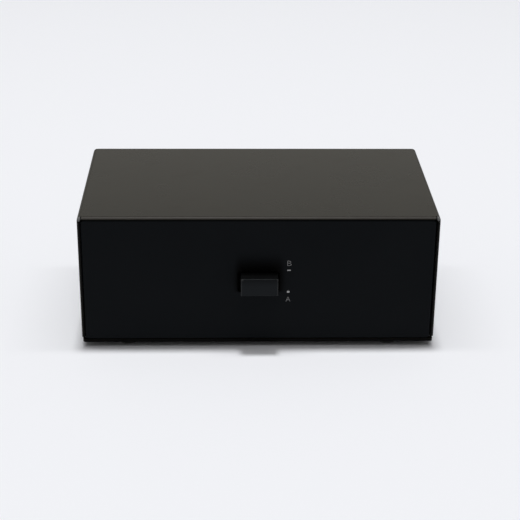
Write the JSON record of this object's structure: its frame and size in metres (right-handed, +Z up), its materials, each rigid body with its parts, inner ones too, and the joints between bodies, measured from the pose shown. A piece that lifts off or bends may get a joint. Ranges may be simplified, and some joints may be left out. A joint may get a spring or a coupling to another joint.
{
  "type": "speaker selector switch",
  "caption": "Two-way speaker selector: a folded steel case with a latching push-button in front and spring-clip wire terminals at the rear, standing on rubber feet.",
  "frame": {"origin": "on the floor under the middle of the case and of the whole object's footprint", "axes": "+X to the right seen from the front, along the longest side; +Y towards the rear terminals, along the button's press; +Z up"},
  "size_m": [0.2032, 0.1298, 0.0813],
  "materials": {
    "case_paint": "satin black baked paint",
    "black_screw": "black oxide, satin",
    "zinc_steel": "zinc plated",
    "button_plastic": "satin moulded",
    "foot_rubber": "matt",
    "rod_plastic": "matt moulded",
    "switch_plastic": "matt moulded",
    "slider_plastic": "matt moulded",
    "contact_brass": "plain",
    "spring_steel": "bright",
    "board": "paper-phenolic board",
    "solder": "bright",
    "block_plastic": "fine textured moulded",
    "lever_red": "glossy moulded",
    "lever_black": "glossy moulded"
  },
  "bodies": {
    "case": {"base_plate": "case_paint", "base_screws": "black_screw", "block_nuts": "zinc_steel", "block_screws": "black_screw", "board_screws": "zinc_steel", "board_spacers": "contact_brass", "circuit_board": "board", "clip_block_a": "block_plastic", "clip_block_b": "block_plastic", "clip_block_common": "block_plastic", "clip_springs_a": "spring_steel", "clip_springs_b": "spring_steel", "clip_springs_common": "spring_steel", "contact_strips_a": "contact_brass", "contact_strips_b": "contact_brass", "contact_strips_common": "contact_brass", "cover": "case_paint", "foot_front_left": "foot_rubber", "foot_front_right": "foot_rubber", "foot_rear_left": "foot_rubber", "foot_rear_right": "foot_rubber", "foot_screws": "zinc_steel", "front_panel": "case_paint", "hinge_pin_a": "spring_steel", "hinge_pin_b": "spring_steel", "hinge_pin_common": "spring_steel", "rear_panel": "case_paint", "return_spring": "spring_steel", "solder_joints": "solder", "spacer_screws": "black_screw", "switch_frame": "zinc_steel", "switch_housing": "switch_plastic", "switch_terminals": "contact_brass"},
    "button": {"push_button": "button_plastic", "extension_rod": "rod_plastic", "switch_slider": "slider_plastic", "sliding_contacts": "contact_brass"},
    "latch": {"latch_pin": "spring_steel"},
    "lever_a_left_minus": {"lever_a_left_minus": "lever_black"},
    "lever_a_left_plus": {"lever_a_left_plus": "lever_red"},
    "lever_a_right_minus": {"lever_a_right_minus": "lever_black"},
    "lever_a_right_plus": {"lever_a_right_plus": "lever_red"},
    "lever_b_left_minus": {"lever_b_left_minus": "lever_black"},
    "lever_b_left_plus": {"lever_b_left_plus": "lever_red"},
    "lever_b_right_minus": {"lever_b_right_minus": "lever_black"},
    "lever_b_right_plus": {"lever_b_right_plus": "lever_red"},
    "lever_common_left_minus": {"lever_common_left_minus": "lever_black"},
    "lever_common_left_plus": {"lever_common_left_plus": "lever_red"},
    "lever_common_right_minus": {"lever_common_right_minus": "lever_black"},
    "lever_common_right_plus": {"lever_common_right_plus": "lever_red"}
  },
  "joints": [
    {"name": "button_press", "type": "slide", "parent": "case", "child": "button", "axis": [0, 1, 0], "range_m": [0, 0.004], "stiffness_N_per_m": 400, "springref_m": -0.004, "deforming": ["return_spring"]},
    {"name": "latch_swing", "type": "hinge", "parent": "case", "child": "latch", "pos_m": [0.0003, 0.0243, 0.04675], "axis": [0, 0, -1], "range_deg": [0, 8.6]},
    {"name": "press_a_left_plus", "type": "hinge", "parent": "case", "child": "lever_a_left_plus", "pos_m": [-0.06075, 0.06005, 0.0549], "axis": [1, 0, 0], "range_deg": [0, 15], "stiffness_Nm_per_rad": 0.1, "springref_deg": -5.73, "deforming": ["clip_springs_a"]},
    {"name": "press_a_left_minus", "type": "hinge", "parent": "case", "child": "lever_a_left_minus", "pos_m": [-0.05025, 0.06005, 0.0549], "axis": [1, 0, 0], "range_deg": [0, 15], "stiffness_Nm_per_rad": 0.1, "springref_deg": -5.73, "deforming": ["clip_springs_a"]},
    {"name": "press_a_right_plus", "type": "hinge", "parent": "case", "child": "lever_a_right_plus", "pos_m": [-0.03975, 0.06005, 0.0549], "axis": [1, 0, 0], "range_deg": [0, 15], "stiffness_Nm_per_rad": 0.1, "springref_deg": -5.73, "deforming": ["clip_springs_a"]},
    {"name": "press_a_right_minus", "type": "hinge", "parent": "case", "child": "lever_a_right_minus", "pos_m": [-0.02925, 0.06005, 0.0549], "axis": [1, 0, 0], "range_deg": [0, 15], "stiffness_Nm_per_rad": 0.1, "springref_deg": -5.73, "deforming": ["clip_springs_a"]},
    {"name": "press_b_left_plus", "type": "hinge", "parent": "case", "child": "lever_b_left_plus", "pos_m": [0.02925, 0.06005, 0.0549], "axis": [1, 0, 0], "range_deg": [0, 15], "stiffness_Nm_per_rad": 0.1, "springref_deg": -5.73, "deforming": ["clip_springs_b"]},
    {"name": "press_b_left_minus", "type": "hinge", "parent": "case", "child": "lever_b_left_minus", "pos_m": [0.03975, 0.06005, 0.0549], "axis": [1, 0, 0], "range_deg": [0, 15], "stiffness_Nm_per_rad": 0.1, "springref_deg": -5.73, "deforming": ["clip_springs_b"]},
    {"name": "press_b_right_plus", "type": "hinge", "parent": "case", "child": "lever_b_right_plus", "pos_m": [0.05025, 0.06005, 0.0549], "axis": [1, 0, 0], "range_deg": [0, 15], "stiffness_Nm_per_rad": 0.1, "springref_deg": -5.73, "deforming": ["clip_springs_b"]},
    {"name": "press_b_right_minus", "type": "hinge", "parent": "case", "child": "lever_b_right_minus", "pos_m": [0.06075, 0.06005, 0.0549], "axis": [1, 0, 0], "range_deg": [0, 15], "stiffness_Nm_per_rad": 0.1, "springref_deg": -5.73, "deforming": ["clip_springs_b"]},
    {"name": "press_common_left_plus", "type": "hinge", "parent": "case", "child": "lever_common_left_plus", "pos_m": [-0.01575, 0.06005, 0.0159], "axis": [1, 0, 0], "range_deg": [0, 15], "stiffness_Nm_per_rad": 0.1, "springref_deg": -5.73, "deforming": ["clip_springs_common"]},
    {"name": "press_common_left_minus", "type": "hinge", "parent": "case", "child": "lever_common_left_minus", "pos_m": [-0.00525, 0.06005, 0.0159], "axis": [1, 0, 0], "range_deg": [0, 15], "stiffness_Nm_per_rad": 0.1, "springref_deg": -5.73, "deforming": ["clip_springs_common"]},
    {"name": "press_common_right_plus", "type": "hinge", "parent": "case", "child": "lever_common_right_plus", "pos_m": [0.00525, 0.06005, 0.0159], "axis": [1, 0, 0], "range_deg": [0, 15], "stiffness_Nm_per_rad": 0.1, "springref_deg": -5.73, "deforming": ["clip_springs_common"]},
    {"name": "press_common_right_minus", "type": "hinge", "parent": "case", "child": "lever_common_right_minus", "pos_m": [0.01575, 0.06005, 0.0159], "axis": [1, 0, 0], "range_deg": [0, 15], "stiffness_Nm_per_rad": 0.1, "springref_deg": -5.73, "deforming": ["clip_springs_common"]}
  ],
  "couplings": [
    {"joint": "latch_swing", "follows": "button_press", "rad_per_m": 37.5}
  ]
}
